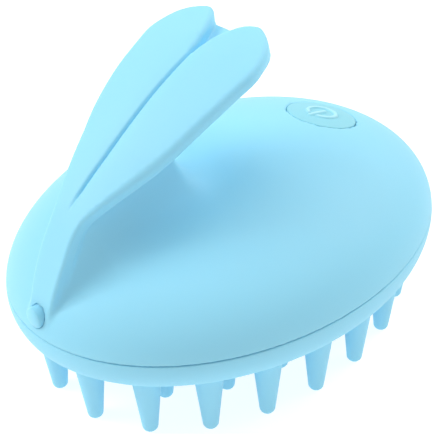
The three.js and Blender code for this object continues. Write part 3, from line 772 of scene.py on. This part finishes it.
class MASSAGER_OT_skin(bpy.types.Operator):
    """Build the silicone skin with its face ridge and ears"""

    bl_idname = "massager.skin"
    bl_label = "Upper Skin"

    def execute(self, context):
        sizes = measures()
        # The grid is fine at the groove, at the plug's hole and at the parting plane.
        axes = [
            axis_points(SKIN_LOW[0] - 1, SKIN_HIGH[0] + 1, SKIN_STEP, fine_half=3),
            axis_points(SKIN_LOW[1] - 1.5, HALF_LENGTH + 1, SKIN_STEP,
                        fine_half=2.4, fine_step=0.3, centre=-48),
            axis_points(PARTING_Z - 1, SKIN_HIGH[2] + 1.5, SKIN_STEP,
                        fine_half=3.6, fine_step=0.3, centre=PARTING_Z + 2.7),
        ]
        material = moulded_silicone("Moulded Silicone", palette().silicone)
        skin = implicit_piece(
            "silicone_skin", lambda x, y, z: skin_field(x, y, z, sizes), axes, material)
        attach(skin, "housing")
        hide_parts("upper_skin")
        return {"FINISHED"}


class MASSAGER_OT_pad(bpy.types.Operator):
    """Build the silicone pad with its bristles"""

    bl_idname = "massager.pad"
    bl_label = "Brush Pad"

    def execute(self, context):
        sizes = measures()
        # The grid is fine at the parting plane.
        axes = [
            axis_points(PAD_LOW[0] - 1, PAD_HIGH[0] + 1, PAD_STEP),
            axis_points(PAD_LOW[1] - 1, PAD_HIGH[1] + 1, PAD_STEP),
            axis_points(PAD_LOW[2] - 0.7, PAD_HIGH[2] + 0.7, PAD_STEP,
                        fine_half=1.2, fine_step=0.25, centre=PARTING_Z),
        ]
        material = bpy.data.materials["Moulded Silicone"]
        pad = implicit_piece(
            "silicone_brush_pad", lambda x, y, z: pad_field(x, y, z, sizes), axes, material)
        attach(pad, "housing")
        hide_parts("brush_pad")
        return {"FINISHED"}


class MASSAGER_OT_button(bpy.types.Operator):
    """Build the power button with its raised sign"""

    bl_idname = "massager.button"
    bl_label = "Power Button"

    def execute(self, context):
        low, high = box_mm("power_button")
        axes = [axis_points(low[i] - 0.6, high[i] + 0.8, BUTTON_STEP) for i in range(3)]
        material = moulded_silicone("Button Silicone", palette().button, palette().sign)
        button = implicit_piece("silicone_power_button", button_field, axes, material, smoothing=1)
        place = np.empty(len(button.data.vertices) * 3)
        button.data.vertices.foreach_get("co", place)
        share = button.data.attributes.new("sign", "FLOAT", "POINT")
        share.data.foreach_set("value", sign_share(*(place.reshape(-1, 3) / MM).T))
        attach(button, "button")
        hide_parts("power_button")
        return {"FINISHED"}


class MASSAGER_OT_plug(bpy.types.Operator):
    """Build the nose plug of the charging socket"""

    bl_idname = "massager.plug"
    bl_label = "Nose Plug"

    def execute(self, context):
        radius = PLUG_RADIUS
        angle = np.linspace(0, math.pi / 2, 10)[1:]
        front = [(radius * math.sin(a) ** 0.8, 0.4 - 0.7 * math.cos(a)) for a in angle]
        head = [(radius, 2.6), (radius - 0.2, 2.8)]
        profile = [(0, -0.3), *front, *head, *PLUG_SHANK, (0, 11.9)]
        plug = revolved_piece("silicone_nose_plug", profile, (0, PLUG_FRONT, PLUG_Z),
                              bpy.data.materials["Moulded Silicone"])
        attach(plug, "plug")
        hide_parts("nose_plug")
        return {"FINISHED"}


class MASSAGER_OT_inner(bpy.types.Operator):
    """Give the inner pieces their finishes"""

    bl_idname = "massager.inner"
    bl_label = "Inner Finishes"

    def execute(self, context):
        finishes = {
            # Off-white, with the satin of a textured tool.
            "white_abs": moulded_plastic("Moulded ABS", palette().shell),
            # Near-black and dull, as moulded rubber is.
            "seal_rubber": moulded_plastic("Moulded Seal Rubber", "2A2C2E", 0.7, 0.4),
            # Black, with a slight gloss.
            "black_plastic": moulded_plastic("Moulded Polyamide", "1E2022", 0.45),
            # Bright grey, with fine drawn lines along it.
            "plated_steel": plated_metal("Nickel-Plated Steel", "C4C8CC", 0.3),
            # Yellow, with the fine rings of turning.
            "brass": plated_metal("Turned Brass", "D2AE62", 0.32, (12, 1, 1)),
            # Deep green lacquer over the weave of the board.
            "board": moulded_plastic("Printed Solder Mask", "1F6B3A", 0.35, 0.8),
            # Silver and soft, with no direction to its dull spots.
            "cell_foil": plated_metal("Rolled Pouch Foil", "CDD0D3", 0.42, (1, 1, 1)),
            # Dark grey and quite matt, with open pores.
            "foam": moulded_plastic("Cut Foam", "4A4C4E", 0.85, 0.6),
            # Smooth red and black, with a soft gloss.
            "red_wire": moulded_plastic("Extruded Red Insulation", "B5221F", 0.4),
            "black_wire": moulded_plastic("Extruded Black Insulation", "1B1C1D", 0.4),
            # As made with the soft pieces.
            "silicone": bpy.data.materials["Moulded Silicone"],
            "button_silicone": bpy.data.materials["Button Silicone"],
        }
        for row in frame["record"]["subparts"]:
            node = frame["nodes"][row["node"]]
            node.data.materials.clear()
            node.data.materials.append(finishes[row["material_slot"]])
        return {"FINISHED"}


class MASSAGER_OT_stage(bpy.types.Operator):
    """Set the floor, the soft light and the camera"""

    bl_idname = "massager.stage"
    bl_label = "Stage"

    def execute(self, context):
        scene = context.scene
        floor = new_piece("floor", FLOOR_CORNERS, [(0, 1, 2, 3)], lit_acrylic())
        world = bpy.data.worlds.new("Studio")
        scene.world = world
        world.use_nodes = True
        background = world.node_tree.nodes["Background"]
        background.inputs["Color"].default_value = linear("FFFFFF")
        background.inputs["Strength"].default_value = WORLD_STRENGTH
        for name, place, power, size in LIGHTS:
            light = bpy.data.lights.new(name, "AREA")
            light.energy = power
            light.size = size
            lamp = bpy.data.objects.new(name, light)
            lamp.location = place
            aim = Vector(LAMP_AIM) - Vector(place)
            lamp.rotation_mode = "QUATERNION"
            lamp.rotation_quaternion = aim.to_track_quat("-Z", "Y")
            scene.collection.objects.link(lamp)
        camera = bpy.data.objects.new("camera", bpy.data.cameras.new("camera"))
        camera.data.sensor_width = SENSOR_WIDTH
        camera.data.lens = SENSOR_WIDTH * CAMERA["focal"] / VIEW_WIDTH
        camera.data.clip_start = 0.01
        a, e = math.radians(CAMERA["azimuth"]), math.radians(CAMERA["elevation"])
        back = Vector((math.sin(a) * math.cos(e), -math.cos(a) * math.cos(e), math.sin(e)))
        target = Vector(CAMERA["target"]) * MM
        camera.location = target + back * CAMERA["distance"] * MM
        camera.rotation_mode = "QUATERNION"
        roll = Matrix.Rotation(math.radians(CAMERA["roll"]), 4, "Z").to_quaternion()
        camera.rotation_quaternion = (-back).to_track_quat("-Z", "Y") @ roll
        scene.collection.objects.link(camera)
        scene.camera = camera
        scene.view_settings.view_transform = "Standard"
        return {"FINISHED"}


class MASSAGER_PT_panel(bpy.types.Panel):
    """Lists the massager's building steps."""

    bl_idname = "MASSAGER_PT_panel"
    bl_label = "Scalp Massager"
    bl_space_type = "VIEW_3D"
    bl_region_type = "UI"
    bl_category = "Massager"

    def draw(self, context):
        for operator in OPERATORS:
            self.layout.operator(operator.bl_idname)
        for name, group in (("massager_sizes", MassagerSizes), ("massager_colours", MassagerColours)):
            for key in group.__annotations__:
                self.layout.prop(getattr(context.scene, name), key)


OPERATORS = (
    MASSAGER_OT_skin, MASSAGER_OT_pad, MASSAGER_OT_button, MASSAGER_OT_plug, MASSAGER_OT_inner,
    MASSAGER_OT_stage,
)
CLASSES = (MassagerSizes, MassagerColours, *OPERATORS, MASSAGER_PT_panel)


def register():
    """Registers the classes and puts the two groups on the scene."""
    for cls in CLASSES:
        bpy.utils.register_class(cls)
    bpy.types.Scene.massager_sizes = bpy.props.PointerProperty(type=MassagerSizes)
    bpy.types.Scene.massager_colours = bpy.props.PointerProperty(type=MassagerColours)


def unregister():
    """Undoes what register does, in the opposite order."""
    del bpy.types.Scene.massager_sizes
    del bpy.types.Scene.massager_colours
    for cls in reversed(CLASSES):
        bpy.utils.unregister_class(cls)


def main():
    """Builds everything."""
    register()
    bpy.ops.massager.skin()
    bpy.ops.massager.pad()
    bpy.ops.massager.button()
    bpy.ops.massager.plug()
    bpy.ops.massager.inner()
    bpy.ops.massager.stage()


if __name__ == "__main__":
    main()
